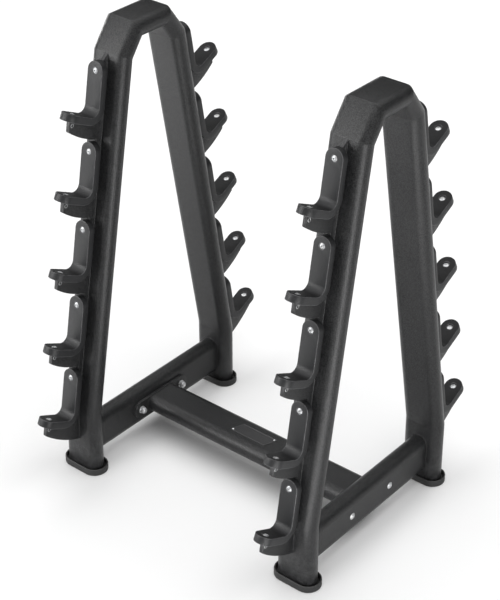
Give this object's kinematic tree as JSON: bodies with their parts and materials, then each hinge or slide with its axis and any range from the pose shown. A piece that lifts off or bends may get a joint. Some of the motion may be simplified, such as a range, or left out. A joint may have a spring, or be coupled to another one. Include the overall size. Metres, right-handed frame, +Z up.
{
  "type": "barbell storage rack",
  "caption": "Free-standing two-sided rack of flat oval tube: two A-frames joined by a low beam, with rows of moulded J-hooks that hold fixed barbells.",
  "frame": {"origin": "middle of the rack on the floor, under the centre of the beam", "axes": "+X to the right along the stored bars, +Y from the front row of hooks to the rear row, +Z up"},
  "size_m": [0.965, 0.9588, 1.387],
  "materials": {
    "powder_coat": "fine-textured black powder coat, satin",
    "moulded_plastic": "moulded black, satin",
    "rubber": "matte moulded black",
    "zinc": "bright zinc plated",
    "badge": "gloss black, bare"
  },
  "bodies": {
    "root": {"left_front_foot_tube": "powder_coat", "left_front_leg_tube": "powder_coat", "left_front_shoulder_tube": "powder_coat", "left_top_tube": "powder_coat", "left_rear_shoulder_tube": "powder_coat", "left_rear_leg_tube": "powder_coat", "left_rear_foot_tube": "powder_coat", "right_front_foot_tube": "powder_coat", "right_front_leg_tube": "powder_coat", "right_front_shoulder_tube": "powder_coat", "right_top_tube": "powder_coat", "right_rear_shoulder_tube": "powder_coat", "right_rear_leg_tube": "powder_coat", "right_rear_foot_tube": "powder_coat", "left_crossbar": "powder_coat", "right_crossbar": "powder_coat", "spreader_beam": "powder_coat", "left_end_plate": "powder_coat", "right_end_plate": "powder_coat", "left_front_foot": "rubber", "left_rear_foot": "rubber", "right_front_foot": "rubber", "right_rear_foot": "rubber", "left_front_hook_plate": "powder_coat", "left_rear_hook_plate": "powder_coat", "right_front_hook_plate": "powder_coat", "right_rear_hook_plate": "powder_coat", "left_front_hook_1": "moulded_plastic", "left_front_hook_2": "moulded_plastic", "left_front_hook_3": "moulded_plastic", "left_front_hook_4": "moulded_plastic", "left_front_hook_5": "moulded_plastic", "left_rear_hook_1": "moulded_plastic", "left_rear_hook_2": "moulded_plastic", "left_rear_hook_3": "moulded_plastic", "left_rear_hook_4": "moulded_plastic", "left_rear_hook_5": "moulded_plastic", "right_front_hook_1": "moulded_plastic", "right_front_hook_2": "moulded_plastic", "right_front_hook_3": "moulded_plastic", "right_front_hook_4": "moulded_plastic", "right_front_hook_5": "moulded_plastic", "right_rear_hook_1": "moulded_plastic", "right_rear_hook_2": "moulded_plastic", "right_rear_hook_3": "moulded_plastic", "right_rear_hook_4": "moulded_plastic", "right_rear_hook_5": "moulded_plastic", "strap_screws": "zinc", "tongue_screws": "zinc", "barrel_nuts": "zinc", "beam_bolts": "zinc", "beam_washers": "zinc", "beam_nuts": "zinc", "badge_plate": "badge", "badge_rivets": "zinc"}
  },
  "joints": []
}
